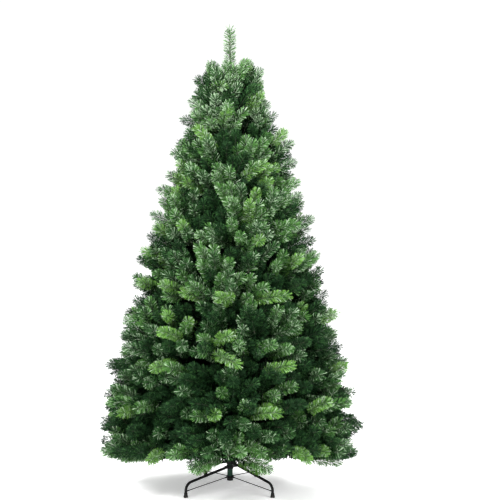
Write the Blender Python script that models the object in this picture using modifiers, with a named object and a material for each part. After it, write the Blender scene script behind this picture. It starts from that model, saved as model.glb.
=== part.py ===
"""An artificial Christmas tree, 2.1 m tall, on a folding stand with four bent-tube legs.

The steel pole runs up through the crown. The lowest two tiers of foliage are carried by boughs,
and the others by a stem that starts at the pole. Each mass of foliage keeps to a sector of its
tier: twigs fork from one stem, and each ends in a spray, a slim core that needles stand out of.
Metres, +Z up, the floor at Z = 0 and the pole on the Z axis. The photographed side faces -Y.
"""

import math
import random
from collections import namedtuple

import bmesh
import bpy
from mathutils import Matrix, Vector

SEED = 7
GAP = 0.0003

# The crown: its outline is a power curve above the widest height, and a tucked skirt below it. The
# skirt is lifted in front, to show the stand, except for two low sprays: azimuth, reach and height.
TREE_HEIGHT = 2.10
CROWN_RADIUS = 0.605
WIDEST_HEIGHT = 0.29
CROWN_CURVE = 0.78
CROWN_FOOT = 0.10
SKIRT_TUCK = 0.14
SKIRT_FLOOR = 0.082
FRONT_AZIMUTH = 270.0
FRONT_LIFT = 0.14
LOW_SPRAYS = ((249.0, 0.40, 0.158), (292.0, 0.40, 0.157))

# The pole: three stepped sections, from its foot to the tip that carries the leader.
POLE_RADII = (0.0125, 0.0110, 0.0095)
POLE_JOINTS = (0.76, 1.40)
POLE_FOOT = 0.0385
POLE_TIP = 1.84
POLE_SHOULDER = 0.006
ROUND_STEPS = 16
SHARP_ANGLE = 35.0

# The stand: two pairs of legs cross on the pole, each pair on its own collar.
FOOT_REACH = 0.260
LEG_RADIUS = 0.006
LEG_BEND = 0.036
LEG_BEND_STEPS = 6
LEG_FIT_ROUNDS = 8
LEG_UPRIGHT_TOP = 0.028
FRONT_SPLAY = 46.7
REAR_SPLAY = 27.6
LOW_PAIR_HEIGHT = 0.097
HIGH_PAIR_HEIGHT = 0.1175
COLLAR_WALL = 0.003
COLLAR_HALF_HEIGHT = 0.0085
FOOT_CAP_RADIUS = 0.0100
FOOT_CAP_NECK = 0.0078
FOOT_CAP_HEIGHT = 0.021
FOOT_CAP_FLOOR = 0.004
BRACE_RADIUS = 0.002
BRACE_HEIGHT_AT_LEG = 0.0275
BRACE_RING = (0.0465, 0.0575)
END_CAP = (0.0350, 0.0450)
END_CAP_WALL = 0.0015

# The tiers, from the bottom up: the azimuth of the first sector's middle, the height of the stems
# at the pole, the height of the tier's top edge at the crown's outline, the sprays across a sector
# in the lower outer row, and the reach of the boughs, 0 where the stems start at the pole.
Tier = namedtuple("Tier", "name sectors first_azimuth stem_height top_edge across bough_reach")
TIERS = (
    Tier("skirt", 6, 270, 0.185, 0.370, 4, 0.13),
    Tier("lower", 5, 272, 0.300, 0.625, 4, 0.11),
    Tier("low_middle", 5, 285, 0.480, 0.875, 4, 0.0),
    Tier("middle", 4, 260, 0.700, 1.120, 4, 0.0),
    Tier("high_middle", 4, 292, 0.935, 1.370, 3, 0.0),
    Tier("upper", 3, 270, 1.195, 1.610, 3, 0.0),
    Tier("crown_top", 3, 240, 1.465, 1.940, 2, 0.0),
)
TIER_DROP = 0.035
TOP_CEILING = 1.80
SPACE_MARGIN = 0.002

# The limbs: a tier's stems aim for a share of its height at the outline.
STEM_AIM = 0.15
STEM_REACH = 0.66
STEM_SIDES = 5
STEM_RADIUS = 0.0045
BOUGH_RADIUS = 0.0060
BOUGH_END_RADIUS = 0.0050
TWIG_RADIUS = 0.0026
FORK_ANGLE = 38.0
FORK_ZONE = (0.10, 0.92)

# The tips of a mass: two outer rows on the crown's outline, as shares of the tier's height there,
# and risers that fill the space over the stem, by their place along it, side and lean outwards.
OUTER_ROWS = (0.25, 0.74)
UPPER_ROW_STRETCH = 1.25
OUTER_REACH = (0.97, 1.02)
OUTER_HEIGHT_PLAY = 0.012
OUTER_AZIMUTH_PLAY = 1.5
RISERS = ((0.05, 0.25, 0.04), (0.16, -0.05, 0.10), (0.42, -0.52, 0.20), (0.48, 0.52, 0.20))
RISER_HEADROOM = 0.018
RISER_HEIGHT_PLAY = 0.02
RISER_AZIMUTH_PLAY = 3.0
RISER_LIMIT = 0.85

# A spray: a three-sided core whose side faces are drawn out to needles, larger than life.
SPRAY_LENGTH = 0.195
SPRAY_SHARE = 0.68
SPRAY_SPREAD = 0.062
SHORT_SPRAY_SPREAD = 0.4
SLIMMER = (1.0, 0.75, 0.55)
CORE_SIDES = 3
CORE_RADIUS = 0.0090
CORE_TAPER = 0.5
LOWER_NEEDLE_ROWS = 3
UPPER_NEEDLE_ROWS = 2
NEEDLE_LEAN = 0.27
NEEDLE_TAPER = 0.5

# The leader: how far up it its stem and its two sprays reach.
LEADER_STEM = 0.6
LEADER_SPRAYS = ((0.0, 0.62), (0.28, 1.0))
LEADER_SLIMNESS = 0.85


def clear_scene():
    for obj in list(bpy.data.objects):
        bpy.data.objects.remove(obj, do_unlink=True)
    for collection in list(bpy.data.collections):
        bpy.data.collections.remove(collection)


def material(name, colour, roughness):
    made = bpy.data.materials.new(name)
    made.use_nodes = True
    shader = made.node_tree.nodes["Principled BSDF"]
    shader.inputs["Base Color"].default_value = (*colour, 1.0)
    shader.inputs["Roughness"].default_value = roughness
    return made


def new_collection(name):
    made = bpy.data.collections.new(name)
    bpy.context.scene.collection.children.link(made)
    return made


def from_bmesh(bm, name, collection):
    mesh = bpy.data.meshes.new(name)
    bm.to_mesh(mesh)
    bm.free()
    obj = bpy.data.objects.new(name, mesh)
    collection.objects.link(obj)
    return obj


def applied(obj):
    """Puts the mesh that an object's modifiers make in place of them."""
    graph = bpy.context.evaluated_depsgraph_get()
    mesh = bpy.data.meshes.new_from_object(obj.evaluated_get(graph))
    obj.modifiers.clear()
    obj.data = mesh
    return obj


def compass(azimuth):
    """The level unit vector at an azimuth in degrees, counted from +X towards +Y."""
    turn = math.radians(azimuth)
    return Vector((math.cos(turn), math.sin(turn), 0.0))


def at_height(height):
    return Vector((0.0, 0.0, height))


def crown_radius(height):
    """The crown's outline: how far its tips reach at a height."""
    if height >= WIDEST_HEIGHT:
        left = max(TREE_HEIGHT - height, 0.0) / (TREE_HEIGHT - WIDEST_HEIGHT)
        return CROWN_RADIUS * left**CROWN_CURVE
    drop = (WIDEST_HEIGHT - height) / (WIDEST_HEIGHT - CROWN_FOOT)
    return CROWN_RADIUS * (1.0 - SKIRT_TUCK * drop * drop)


def crown_foot(azimuth):
    """The height of the crown's lower edge, which is lifted in front."""
    return CROWN_FOOT + FRONT_LIFT * max(0.0, compass(azimuth).dot(compass(FRONT_AZIMUTH)))


def pole_radius(height):
    return POLE_RADII[sum(height > joint for joint in POLE_JOINTS)]


def turned(name, profile, finish, collection):
    """A turned piece from (radius, height) points, closed on the axis or as a ring."""
    bm = bmesh.new()
    verts = [bm.verts.new((radius, 0.0, height)) for radius, height in profile]
    for a, b in zip(verts, verts[1:]):
        bm.edges.new((a, b))
    if profile[0][0] > 0.0:
        bm.edges.new((verts[-1], verts[0]))
    obj = from_bmesh(bm, name, collection)
    screw = obj.modifiers.new("Turn", "SCREW")
    screw.steps = screw.render_steps = ROUND_STEPS
    screw.use_merge_vertices = True
    screw.merge_threshold = 0.00005
    applied(obj).data.set_sharp_from_angle(angle=math.radians(SHARP_ANGLE))
    obj.data.materials.append(finish)
    return obj


def rod(name, points, radii, resolution, finish, collection):
    """A round rod through points, with a radius at each."""
    data = bpy.data.curves.new(name, "CURVE")
    data.dimensions = "3D"
    data.bevel_depth = 1.0
    data.bevel_resolution = resolution
    data.use_fill_caps = True
    spline = data.splines.new("POLY")
    spline.points.add(len(points) - 1)
    for place, point, radius in zip(spline.points, points, radii):
        place.co = (*point, 1.0)
        place.radius = radius
    data.materials.append(finish)
    collection.objects.link(bpy.data.objects.new(name, data))


def make_pole(finish, collection):
    profile = [(0.0, POLE_TIP), (POLE_RADII[-1], POLE_TIP)]
    for index in reversed(range(len(POLE_JOINTS))):
        joint = POLE_JOINTS[index]
        profile.append((POLE_RADII[index + 1], joint + POLE_SHOULDER))
        profile.append((POLE_RADII[index], joint))
    profile += [(POLE_RADII[0], POLE_FOOT), (0.0, POLE_FOOT)]
    turned("trunk_pole", profile, finish, collection)


def make_collar(name, low, high, finish, collection):
    inner = POLE_RADII[0] + GAP
    outer = inner + COLLAR_WALL
    profile = [(inner, high), (outer, high), (outer, low), (inner, low)]
    turned(name, profile, finish, collection)


def make_end_cap(finish, collection):
    """The cap on the pole's foot."""
    bottom, top = END_CAP
    bore = POLE_RADII[0] + GAP
    floor = POLE_FOOT - GAP
    outer = bore + END_CAP_WALL
    profile = [(0.0, floor), (bore, floor), (bore, top), (outer, top), (outer, bottom), (0.0, bottom)]
    turned("pole_end_cap", profile, finish, collection)


def leg_line(start, height):
    """(reach, height) points of a leg's centre line: down from its collar, then round to its foot."""
    slope = 0.0
    for _ in range(LEG_FIT_ROUNDS):  # the slope and the start of the bend depend on each other
        bend_reach = FOOT_REACH - LEG_BEND * (1.0 - math.sin(slope))
        bend_height = LEG_UPRIGHT_TOP + LEG_BEND * math.cos(slope)
        slope = math.atan2(height - bend_height, bend_reach - start)
    points = [(start + LEG_RADIUS * math.sin(slope), height)]
    for step in range(LEG_BEND_STEPS + 1):
        turn = slope + (math.pi / 2 - slope) * step / LEG_BEND_STEPS
        reach = FOOT_REACH - LEG_BEND * (1.0 - math.sin(turn))
        points.append((reach, LEG_UPRIGHT_TOP + LEG_BEND * math.cos(turn)))
    points.append((FOOT_REACH, FOOT_CAP_FLOOR + GAP))
    return points


def make_foot_cap(name, place, finish, collection):
    """The cup that the foot of a leg stands in, wider at the floor."""
    bore = LEG_RADIUS + GAP
    profile = [
        (0.0, FOOT_CAP_FLOOR),
        (bore, FOOT_CAP_FLOOR),
        (bore, FOOT_CAP_HEIGHT),
        (FOOT_CAP_NECK, FOOT_CAP_HEIGHT),
        (FOOT_CAP_RADIUS, FOOT_CAP_FLOOR),
        (FOOT_CAP_RADIUS, 0.0),
        (0.0, 0.0),
    ]
    turned(name, profile, finish, collection).location = place


def make_stand(steel, rubber, plastic, collection):
    legs = (
        ("front_left", 270.0 - FRONT_SPLAY, LOW_PAIR_HEIGHT),
        ("rear_right", 90.0 - REAR_SPLAY, LOW_PAIR_HEIGHT),
        ("front_right", 270.0 + FRONT_SPLAY, HIGH_PAIR_HEIGHT),
        ("rear_left", 90.0 + REAR_SPLAY, HIGH_PAIR_HEIGHT),
    )
    for name, height in (("low", LOW_PAIR_HEIGHT), ("high", HIGH_PAIR_HEIGHT)):
        low, high = height - COLLAR_HALF_HEIGHT, height + COLLAR_HALF_HEIGHT
        make_collar(f"leg_collar_{name}", low, high, steel, collection)
    make_collar("brace_ring", *BRACE_RING, steel, collection)
    make_end_cap(plastic, collection)

    on_collar = POLE_RADII[0] + GAP + COLLAR_WALL + GAP
    brace_ends = (
        (on_collar + GAP, sum(BRACE_RING) / 2),
        (FOOT_REACH - LEG_RADIUS - 2 * GAP, BRACE_HEIGHT_AT_LEG),
    )
    for name, azimuth, height in legs:
        out = compass(azimuth)
        leg = [out * reach + at_height(z) for reach, z in leg_line(on_collar, height)]
        rod(f"stand_leg_{name}", leg, [LEG_RADIUS] * len(leg), 2, steel, collection)
        brace = [out * reach + at_height(z) for reach, z in brace_ends]
        rod(f"brace_rod_{name}", brace, [BRACE_RADIUS] * 2, 1, steel, collection)
        make_foot_cap(f"foot_cap_{name}", out * FOOT_REACH, rubber, collection)


def along(direction):
    """The rotation that takes +Z to a direction."""
    return direction.to_track_quat("Z", "Y").to_matrix().to_4x4()


def limb_bmesh(start, end, start_radius, end_radius, sides):
    """A tapering limb with flat ends, from start to end, with a corner on its upper side."""
    axis = end - start
    place = Matrix.Translation((start + end) / 2) @ along(axis)
    bm = bmesh.new()
    bmesh.ops.create_cone(
        bm,
        cap_ends=True,
        segments=sides,
        radius1=start_radius,
        radius2=end_radius,
        depth=axis.length,
        matrix=place,
    )
    return bm


def needled_twig(fork, tip, rows, slimness, roll):
    """A twig from fork to tip, whose outer end is a spray: a core with its sides drawn to needles."""
    length = (tip - fork).length
    spray = min(SPRAY_LENGTH, length * SPRAY_SHARE)
    fullness = SHORT_SPRAY_SPREAD + (1.0 - SHORT_SPRAY_SPREAD) * spray / SPRAY_LENGTH
    spread = SPRAY_SPREAD * slimness * fullness
    root = length - spray
    row_height = spray / rows
    bm = limb_bmesh(Vector(), at_height(length), TWIG_RADIUS, TWIG_RADIUS, CORE_SIDES)
    for row in range(rows):
        geometry = bm.verts[:] + bm.edges[:] + bm.faces[:]
        cut = at_height(root + row_height * row)
        bmesh.ops.bisect_plane(bm, geom=geometry, plane_co=cut, plane_no=(0, 0, 1))
    for vert in bm.verts:  # the core swells above its root, and twists to stagger its needles
        row = round((vert.co.z - root) / row_height)
        if row > 0:
            swell = CORE_RADIUS / TWIG_RADIUS * (1.0 - CORE_TAPER * row / rows)
            turn = Matrix.Rotation(row * math.pi / CORE_SIDES, 3, "Z")
            vert.co = turn @ Vector((vert.co.x * swell, vert.co.y * swell, vert.co.z))
    sides = [face for face in bm.faces if root < face.calc_center_median().z < length - row_height / 4]
    for vert in bmesh.ops.poke(bm, faces=sides)["verts"]:
        level = Vector((vert.co.x, vert.co.y, 0.0)).normalized()
        taper = 1.0 - NEEDLE_TAPER * (vert.co.z - root) / spray
        vert.co = level * spread * taper + at_height(vert.co.z + spray * NEEDLE_LEAN * taper)
    place = Matrix.Translation(fork) @ along(tip - fork) @ Matrix.Rotation(roll, 4, "Z")
    bmesh.ops.transform(bm, matrix=place, verts=bm.verts)
    bmesh.ops.recalc_face_normals(bm, faces=bm.faces)
    return bm


class Space:
    """The part of the crown that one mass keeps to: a sector of a tier, clear of pole and bough."""

    def __init__(self, middle, half_angle, floor, ceiling, bough):
        first, last = math.radians(middle - half_angle), math.radians(middle + half_angle)
        self.sides = (
            Vector((-math.sin(first), math.cos(first), 0.0)),
            Vector((math.sin(last), -math.cos(last), 0.0)),
        )
        self.floor, self.ceiling, self.bough = floor, ceiling, bough

    def clears_bough(self, point):
        if not self.bough:
            return True
        start, end = self.bough
        share = (point - start).dot(end - start) / (end - start).length_squared
        nearest = start.lerp(end, min(max(share, 0.0), 1.0))
        return (point - nearest).length > BOUGH_RADIUS + SPACE_MARGIN

    def has(self, point):
        reach = math.hypot(point.x, point.y)
        low = self.floor[0] + self.floor[1] * reach
        high = self.ceiling[0] + self.ceiling[1] * reach
        return (
            low + SPACE_MARGIN < point.z < high - SPACE_MARGIN
            and reach > pole_radius(point.z) + SPACE_MARGIN
            and all(side.dot(point) > SPACE_MARGIN for side in self.sides)
            and self.clears_bough(point)
        )

    def holds(self, bm):
        return all(self.has(vert.co) for vert in bm.verts)


def tier_ceiling(index):
    """A tier's ceiling, a cone: its height at the pole and its rise for each metre of reach."""
    edge = TIERS[index].top_edge
    at_pole = TIERS[index + 1].stem_height - TIER_DROP if index + 1 < len(TIERS) else TOP_CEILING
    return at_pole, (edge - at_pole) / crown_radius(edge)


def outer_tips(tier, middle, half_angle, low_edge, chance):
    """Where the sprays on the crown's outline reach, in two rows, with the rows of needles of each."""
    for row, row_share in enumerate(OUTER_ROWS):
        columns = tier.across - row  # the upper row has one fewer, between those of the lower row
        stretch = UPPER_ROW_STRETCH if row else 1.0
        for column in range(columns):
            side = (2 * column + 1 - columns) / tier.across * stretch
            play = chance.uniform(-OUTER_AZIMUTH_PLAY, OUTER_AZIMUTH_PLAY)
            azimuth = middle + side * half_angle + play
            low = max(low_edge, crown_foot(azimuth))
            height = low + (tier.top_edge - low) * row_share
            height += chance.uniform(-OUTER_HEIGHT_PLAY, OUTER_HEIGHT_PLAY)
            reach = crown_radius(height) * chance.uniform(*OUTER_REACH)
            tip = compass(azimuth) * reach + at_height(height)
            yield tip, UPPER_NEEDLE_ROWS if row else LOWER_NEEDLE_ROWS


def riser_tips(tier, middle, half_angle, stem, ceiling, chance):
    """Where the sprays over the stem reach, within the ceiling and the crown's outline."""
    for share, side, lean in RISERS:
        play = chance.uniform(-RISER_AZIMUTH_PLAY, RISER_AZIMUTH_PLAY)
        base = stem[0].lerp(stem[1], share)
        reach = math.hypot(base.x, base.y) + lean * crown_radius(tier.top_edge)
        height = ceiling[0] + ceiling[1] * reach - RISER_HEADROOM
        while crown_radius(height) * RISER_LIMIT < reach:
            height -= RISER_HEADROOM / 4
        height -= chance.uniform(0, RISER_HEIGHT_PLAY)
        tip = compass(middle + side * half_angle + play) * reach + at_height(height)
        yield tip, UPPER_NEEDLE_ROWS


def fork_point(stem, tip):
    """Where on the stem the twig to a tip leaves, so that it forks at the fork angle if it can."""
    start, end = stem
    heading = (end - start).normalized()
    run = (tip - start).dot(heading)
    off = (tip - start - heading * run).length
    share = (run - off / math.tan(math.radians(FORK_ANGLE))) / (end - start).length
    low, high = FORK_ZONE
    return start.lerp(end, min(max(share, low), high))


def joined(base, pieces, finish):
    """Makes one closed mesh of the base and the pieces, and removes the pieces."""
    join = base.modifiers.new("Join", "BOOLEAN")
    join.operation = "UNION"
    join.operand_type = "COLLECTION"
    join.collection = pieces
    join.solver = "MANIFOLD"
    applied(base)
    for obj in list(pieces.objects):
        bpy.data.objects.remove(obj, do_unlink=True)
    bpy.data.collections.remove(pieces)
    base.data.materials.clear()
    base.data.materials.append(finish)


def make_mass(name, space, stem, tips, chance, finish, collection):
    """A mass of foliage: twigs fork from one stem towards (tip, needle rows)."""
    base = from_bmesh(limb_bmesh(*stem, STEM_RADIUS, TWIG_RADIUS, STEM_SIDES), name, collection)
    pieces = new_collection(f"{name}_pieces")
    for number, (tip, rows) in enumerate(tips):
        fork, roll = fork_point(stem, tip), chance.uniform(0, math.tau)
        for slimness in SLIMMER:  # a spray that would leave its space is made slimmer, or left out
            twig = needled_twig(fork, tip, rows, slimness, roll)
            if space.holds(twig):
                from_bmesh(twig, f"{name}_twig_{number}", pieces)
                break
            twig.free()
    joined(base, pieces, finish)


def make_sector(tier, number, middle, low_edge, floor, ceiling, chance, needle, bark, collection):
    """A sector of a tier: its bough, where it has one, and its mass of foliage."""
    out = compass(middle)
    foot = at_height(tier.stem_height)
    low = max(low_edge, crown_foot(middle))
    edge_height = low + (tier.top_edge - low) * STEM_AIM
    edge = out * crown_radius(edge_height) + at_height(edge_height)
    heading = (edge - foot).normalized()
    start_radius = BOUGH_RADIUS if tier.bough_reach else STEM_RADIUS
    clear = pole_radius(tier.stem_height) + GAP + start_radius * abs(heading.z)
    start = foot + heading * clear / heading.dot(out)
    bough = None
    if tier.bough_reach:
        bough = (start, foot + heading * tier.bough_reach)
        radii = (BOUGH_RADIUS, BOUGH_END_RADIUS)
        rod(f"bough_{tier.name}_{number}", bough, radii, 1, bark, collection)
        start = bough[1] + heading * GAP
    stem = (start, foot.lerp(edge, STEM_REACH))
    half_angle = 180.0 / tier.sectors
    space = Space(middle, half_angle, floor, ceiling, bough)
    outer = outer_tips(tier, middle, half_angle, low_edge, chance)
    risers = riser_tips(tier, middle, half_angle, stem, ceiling, chance)
    tips = [*outer, *risers]
    if low_edge == CROWN_FOOT and middle == FRONT_AZIMUTH:
        for azimuth, reach, height in LOW_SPRAYS:
            tips.append((compass(azimuth) * reach + at_height(height), UPPER_NEEDLE_ROWS))
    make_mass(f"foliage_{tier.name}_{number}", space, stem, tips, chance, needle, collection)


def make_tiers(needle, bark, collection):
    chance = random.Random(SEED)
    floor, low_edge = (SKIRT_FLOOR, 0.0), CROWN_FOOT
    for index, tier in enumerate(TIERS):
        ceiling = tier_ceiling(index)
        for sector in range(tier.sectors):
            middle = tier.first_azimuth + sector * 360.0 / tier.sectors
            make_sector(tier, sector + 1, middle, low_edge, floor, ceiling, chance, needle, bark, collection)
        floor, low_edge = ceiling, tier.top_edge


def make_leader(needle, collection):
    """The leader: a stem on the pole's tip, with two sprays up to the tree's full height."""
    foot = at_height(POLE_TIP + GAP)
    top = at_height(TREE_HEIGHT)
    stem = limb_bmesh(foot, foot.lerp(top, LEADER_STEM), STEM_RADIUS, TWIG_RADIUS, STEM_SIDES)
    base = from_bmesh(stem, "foliage_leader", collection)
    pieces = new_collection("foliage_leader_pieces")
    for number, (low, high) in enumerate(LEADER_SPRAYS):
        ends = foot.lerp(top, low), foot.lerp(top, high)
        spray = needled_twig(*ends, LOWER_NEEDLE_ROWS, LEADER_SLIMNESS, number + 0.3)
        from_bmesh(spray, f"leader_spray_{number}", pieces)
    joined(base, pieces, needle)


def main():
    clear_scene()
    tree = new_collection("christmas_tree")
    needle = material("needle_green", (0.045, 0.150, 0.040), 0.55)
    bark = material("bough_wrap", (0.050, 0.090, 0.040), 0.70)
    pole_paint = material("pole_green", (0.015, 0.060, 0.035), 0.45)
    steel = material("stand_black", (0.010, 0.010, 0.010), 0.35)
    rubber = material("foot_rubber", (0.012, 0.012, 0.012), 0.80)
    plastic = material("end_cap_black", (0.012, 0.012, 0.012), 0.50)
    make_pole(pole_paint, tree)
    make_stand(steel, rubber, plastic, tree)
    make_tiers(needle, bark, tree)
    make_leader(needle, tree)


main()
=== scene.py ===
import math
import random

import bmesh
import bpy
import numpy as np
from mathutils import Matrix, Vector


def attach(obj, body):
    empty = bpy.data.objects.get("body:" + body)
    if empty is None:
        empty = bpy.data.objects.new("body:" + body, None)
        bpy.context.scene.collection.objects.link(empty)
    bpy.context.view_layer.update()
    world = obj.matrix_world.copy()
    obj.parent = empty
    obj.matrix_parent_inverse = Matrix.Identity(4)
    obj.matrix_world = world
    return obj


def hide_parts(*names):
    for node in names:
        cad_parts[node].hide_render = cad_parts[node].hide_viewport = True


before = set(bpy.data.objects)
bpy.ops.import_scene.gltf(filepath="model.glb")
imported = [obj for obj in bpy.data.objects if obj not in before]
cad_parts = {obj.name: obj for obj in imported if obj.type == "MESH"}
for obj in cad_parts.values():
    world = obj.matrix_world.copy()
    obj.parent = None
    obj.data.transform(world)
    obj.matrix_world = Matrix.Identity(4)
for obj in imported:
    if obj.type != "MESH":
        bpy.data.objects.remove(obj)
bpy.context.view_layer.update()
print("frame:", len(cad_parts), "nodes")


# Small helpers

def compass(azimuth):  # the level unit vector at an azimuth in degrees, from +X towards +Y
    turn = math.radians(azimuth)
    return Vector((math.cos(turn), math.sin(turn), 0.0))


def atHeight(height):
    return Vector((0.0, 0.0, height))


def pointAt(azimuth, reach, height):  # a reach is a distance from the pole's axis
    return compass(azimuth) * reach + atHeight(height)


def azimuthOf(point):
    return math.degrees(math.atan2(point.y, point.x))


def reachOf(point):
    return math.hypot(point.x, point.y)


def rightOf(heading):
    return heading.cross(atHeight(1.0))


def sway(chance, most):  # a draw to either side of zero
    return chance.uniform(-most, most)


def place(piece, slotName, *nodes):  # rides with the one body, and stands for its nodes
    bpy.context.scene.collection.objects.link(piece)
    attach(piece, "root")
    if nodes:
        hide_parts(*nodes)
    return piece


def fromBmesh(bm, name, finish, sharpAngle=35.0):
    mesh = bpy.data.meshes.new(name)
    bmesh.ops.recalc_face_normals(bm, faces=bm.faces)
    for face in bm.faces:
        face.smooth = True
    bm.to_mesh(mesh)
    bm.free()
    mesh.set_sharp_from_angle(angle=math.radians(sharpAngle))
    mesh.materials.append(finish)
    return bpy.data.objects.new(name, mesh)


def addLathe(bm, profile, steps, matrix=None):  # turns (radius, height) points round Z
    rings = []
    for radius, height in profile:
        if radius <= 0.0:
            rings.append([bm.verts.new((0.0, 0.0, height))])
            continue
        turns = (math.tau * step / steps for step in range(steps))
        rings.append([bm.verts.new((radius * math.cos(t), radius * math.sin(t), height)) for t in turns])
    closed = profile[0][0] > 0.0
    for low, high in zip(rings, rings[1:] + rings[:1] if closed else rings[1:]):
        for step in range(steps):
            after = (step + 1) % steps
            around = ((low, step), (low, after), (high, after), (high, step))
            bm.faces.new(list(dict.fromkeys(ring[index % len(ring)] for ring, index in around)))
    if matrix is not None:
        bmesh.ops.transform(bm, matrix=matrix, verts=[vert for ring in rings for vert in ring])


def addTube(bm, points, radii, sides, side=None, relief=None):  # radii: (across, upright) at each point
    tangents = []
    for index in range(len(points)):
        before, after = points[max(index - 1, 0)], points[min(index + 1, len(points) - 1)]
        tangents.append((after - before).normalized())
    across = side or tangents[0].orthogonal().normalized()
    rings, along = [], 0.0
    for index, (point, tangent) in enumerate(zip(points, tangents)):
        along += (point - points[index - 1]).length if index else 0.0
        across = (across - tangent * across.dot(tangent)).normalized()
        upright = tangent.cross(across)
        wide, tall = radii[index]
        ring = []
        for step in range(sides):
            turn = math.tau * step / sides
            swell = relief(turn, along) if relief else 1.0
            offset = across * (wide * math.cos(turn) * swell) + upright * (tall * math.sin(turn) * swell)
            ring.append(bm.verts.new(point + offset))
        rings.append(ring)
    for low, high in zip(rings, rings[1:]):
        for step in range(sides):
            after = (step + 1) % sides
            bm.faces.new((low[step], low[after], high[after], high[step]))
    bm.faces.new(rings[0][::-1])
    bm.faces.new(rings[-1])


def addPlate(bm, size, matrix, bevel):  # a small plate with rounded edges
    made = bmesh.ops.create_cube(bm, size=1.0, matrix=Matrix.Diagonal((*size, 1.0)))["verts"]
    edges = list(dict.fromkeys(edge for vert in made for edge in vert.link_edges))
    rounded = bmesh.ops.bevel(bm, geom=edges, offset=bevel, segments=2, profile=0.5, affect="EDGES")
    verts = {vert for face in rounded["faces"] for vert in face.verts} | {v for v in made if v.is_valid}
    bmesh.ops.transform(bm, matrix=matrix, verts=list(verts))


# Finishes: expressions on wires add Math nodes

class Wire:
    def __init__(self, finish, socket):
        self.finish, self.socket = finish, socket

    def __add__(self, other):
        return self.finish.maths("ADD", self, other)

    def __sub__(self, other):
        return self.finish.maths("SUBTRACT", self, other)

    def __rsub__(self, other):
        return self.finish.maths("SUBTRACT", other, self)

    def __mul__(self, other):
        return self.finish.maths("MULTIPLY", self, other)

    __radd__, __rmul__ = __add__, __mul__


class Finish:
    def __init__(self, name, look):
        self.material = bpy.data.materials.new(name)
        self.material.use_nodes = True
        self.tree = self.material.node_tree
        self.shader = self.tree.nodes["Principled BSDF"]
        self.set("Base Color", (*look["colour"], 1.0))
        self.set("Roughness", look["roughness"])
        self.set("Specular IOR Level", look.get("shine", 0.5))

    def set(self, name, value):
        self.plug(self.shader.inputs[name], value)

    def plug(self, socket, value):
        if isinstance(value, Wire):
            self.tree.links.new(value.socket, socket)
        else:
            socket.default_value = value

    def node(self, kind, settings, sockets, output=0):
        made = self.tree.nodes.new(kind)
        for key, value in settings.items():
            if key == "stops":
                self.fillRamp(made.color_ramp, value)
            else:
                setattr(made, key, value)
        for key, value in sockets.items():
            self.plug(made.inputs[key], value)
        return Wire(self, made.outputs[output])

    def fillRamp(self, ramp, stops):
        while len(ramp.elements) < len(stops):
            ramp.elements.new(1.0)
        for element, (position, colour) in zip(ramp.elements, stops):
            element.position, element.color = position, (*colour, 1.0)

    def maths(self, operation, a, b):
        return self.node("ShaderNodeMath", {"operation": operation}, {0: a, 1: b})

    def where(self):
        return self.node("ShaderNodeTexCoord", {}, {}, "Object")

    def noise(self, scale, detail=3.0, roughness=0.55, stretch=None):
        vector = self.where()
        if stretch:
            vector = self.node("ShaderNodeMapping", {}, {"Vector": vector, "Scale": stretch})
        sockets = {"Vector": vector, "Scale": scale, "Detail": detail, "Roughness": roughness}
        return self.node("ShaderNodeTexNoise", {}, sockets)

    def ramp(self, value, *stops):  # numbers between stops, as (position, grey level)
        greys = [(position, (level, level, level)) for position, level in stops]
        return self.node("ShaderNodeValToRGB", {"stops": greys}, {"Fac": value})

    def blend(self, factor, a, b):
        settings = {"data_type": "RGBA", "clamp_factor": True}
        colours = [c if isinstance(c, Wire) else (*c, 1.0) for c in (a, b)]
        return self.node("ShaderNodeMix", settings, {0: factor, 6: colours[0], 7: colours[1]}, 2)

    def bump(self, height, distance, strength=1.0):
        sockets = {"Height": height, "Distance": distance, "Strength": strength}
        self.set("Normal", self.node("ShaderNodeBump", {}, sockets))

    def height(self):  # height over the floor, in metres
        return self.node("ShaderNodeSeparateXYZ", {}, {"Vector": self.where()}, "Z")


powderCoat = {  # black powder coat with a fine grain
    "colour": (0.004, 0.004, 0.0045),
    "roughness": 0.46,
    "shine": 0.12,
    "patches": 28.0,
    "patchDull": 0.14,
    "dust": (0.040, 0.038, 0.035),
    "dustFall": 5.0,
    "dustRange": (0.30, 0.62),
    "dustShare": 0.08,
    "dustDull": 0.5,
    "grain": 1400.0,
    "relief": 0.00006,
}
rubber = {  # matte moulded rubber
    "colour": (0.006, 0.006, 0.006),
    "roughness": 0.78,
    "shine": 0.2,
    "patches": 260.0,
    "patchDull": 0.12,
    "dust": (0.045, 0.042, 0.038),
    "dustFall": 14.0,
    "dustRange": (0.22, 0.50),
    "dustShare": 0.45,
    "dustDull": 0.0,
    "grain": 1800.0,
    "relief": 0.00008,
}


def dusty(name, look):  # a finish with duller patches, and dust near the floor
    f = Finish(name, look)
    patches, (none, full) = f.noise(look["patches"], 4.0), look["dustRange"]
    dust = f.ramp(patches - f.height() * look["dustFall"], (none, 0.0), (full, 1.0)) * look["dustShare"]
    f.set("Base Color", f.blend(dust, look["colour"], look["dust"]))
    f.set("Roughness", look["roughness"] + patches * look["patchDull"] + dust * look["dustDull"])
    f.bump(f.noise(look["grain"], 2.0), look["relief"])
    return f.material


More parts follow.
